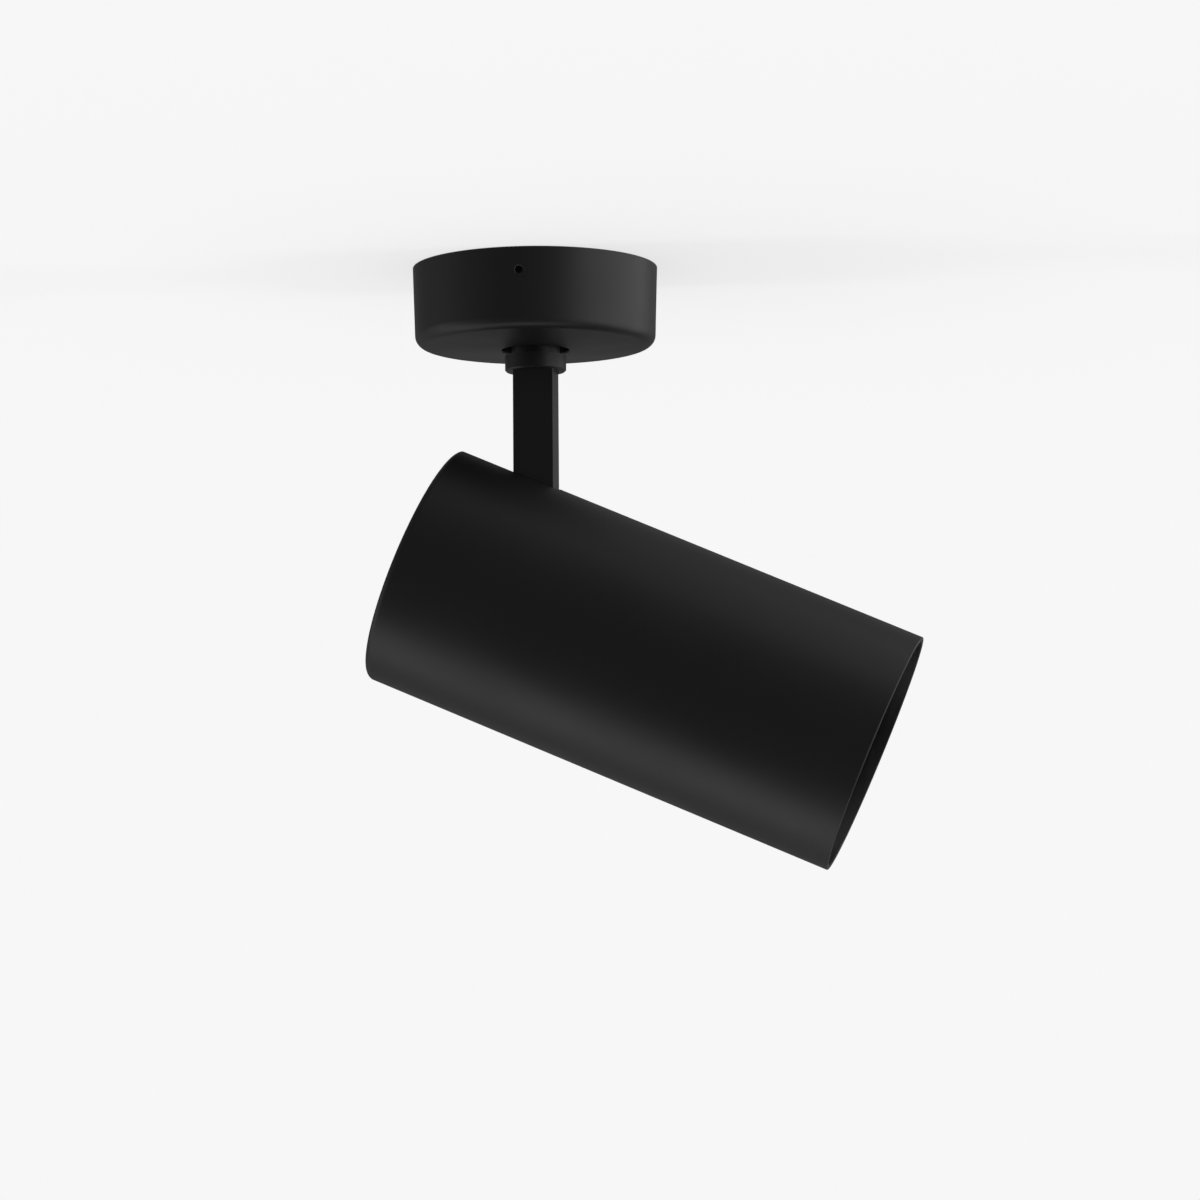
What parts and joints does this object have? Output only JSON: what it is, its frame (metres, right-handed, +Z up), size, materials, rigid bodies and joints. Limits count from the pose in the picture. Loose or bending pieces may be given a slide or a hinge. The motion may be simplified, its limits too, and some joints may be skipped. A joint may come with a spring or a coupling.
{
  "type": "surface mounted ceiling spotlight",
  "caption": "Surface mounted ceiling spotlight: round canopy, swivelling square arm and a long round lamp head that tilts on a slot, in matt black.",
  "frame": {"origin": "centre of the canopy's ceiling face, on the swivel axis", "axes": "+Z up, out of the ceiling face; +X the horizontal direction that the lamp points at rest; +Y along the tilt axis"},
  "size_m": [0.2233, 0.1, 0.2449],
  "materials": {
    "black_powder_coat": "matt fine-texture black powder coat",
    "black_satin_paint": "satin black coat",
    "black_painted_sheet": "matt black painted sheet steel",
    "black_oxide_steel": "blackened steel",
    "zinc_plated_steel": "bright zinc plate",
    "spring_steel": "ground spring steel",
    "bare_aluminium": "machined",
    "black_anodised_aluminium": "black anodised die casting",
    "bright_reflector": "vacuum metallised, faceted sheen",
    "brass": "machined",
    "nylon": "natural nylon",
    "black_plastic": "fine matt black moulding",
    "white_plastic": "white moulding",
    "black_rubber": "soft black rubber",
    "grey_silicone": "silicone gasket",
    "grey_thermal_pad": "soft filled silicone",
    "white_ceramic": "ceramic substrate",
    "yellow_phosphor": "phosphor filled silicone",
    "core_insulation": "coloured core insulation",
    "black_cable_jacket": "round flexible cable jacket",
    "clear_glass": "clear toughened glass"
  },
  "bodies": {
    "ceiling_base": {"canopy": "black_powder_coat", "canopy_grub_screws": "black_oxide_steel", "ceiling_plate": "zinc_plated_steel", "clamp_brackets": "zinc_plated_steel", "cable_grommet": "black_rubber", "swivel_bridge": "zinc_plated_steel", "bridge_screws": "zinc_plated_steel", "swivel_bush": "nylon", "friction_washer": "nylon", "terminal_block": "white_plastic", "terminal_screws": "brass", "terminal_block_screw": "zinc_plated_steel", "earth_screw": "brass", "canopy_leads": "core_insulation"},
    "arm": {"swivel_hub": "black_satin_paint", "stop_pin": "spring_steel", "wave_washer": "spring_steel", "swivel_nut": "zinc_plated_steel", "lock_nut": "zinc_plated_steel", "arm_bar": "black_satin_paint", "arm_screw": "black_oxide_steel", "arm_end_block": "bare_aluminium", "pivot_screws": "black_oxide_steel", "pivot_spring_washers": "spring_steel", "supply_cable": "black_cable_jacket"},
    "lamp_head": {"lamp_tube": "black_powder_coat", "chassis": "black_painted_sheet", "chassis_screws": "black_oxide_steel", "pivot_bush_far": "nylon", "pivot_bush_near": "nylon", "led_driver": "black_plastic", "driver_screws": "zinc_plated_steel", "lamp_lead": "black_cable_jacket", "led_leads": "core_insulation", "heat_sink": "black_anodised_aluminium", "heat_sink_screws": "zinc_plated_steel", "thermal_pad": "grey_thermal_pad", "led_board": "white_ceramic", "led_emitter": "yellow_phosphor", "led_holder": "white_plastic", "led_holder_screws": "zinc_plated_steel", "reflector": "bright_reflector", "optic_sleeve": "black_plastic", "optic_sleeve_screws": "zinc_plated_steel", "glass_gasket": "grey_silicone", "front_glass": "clear_glass", "glare_baffle": "black_plastic"}
  },
  "joints": [
    {"name": "pan", "type": "hinge", "parent": "ceiling_base", "child": "arm", "pos_m": [0, 0, -0.02], "axis": [0, 0, 1], "range_deg": [-160, 160]},
    {"name": "tilt", "type": "hinge", "parent": "arm", "child": "lamp_head", "pos_m": [0, 0, -0.1408], "axis": [0, 1, 0], "range_deg": [-1.3, 66.7]}
  ]
}
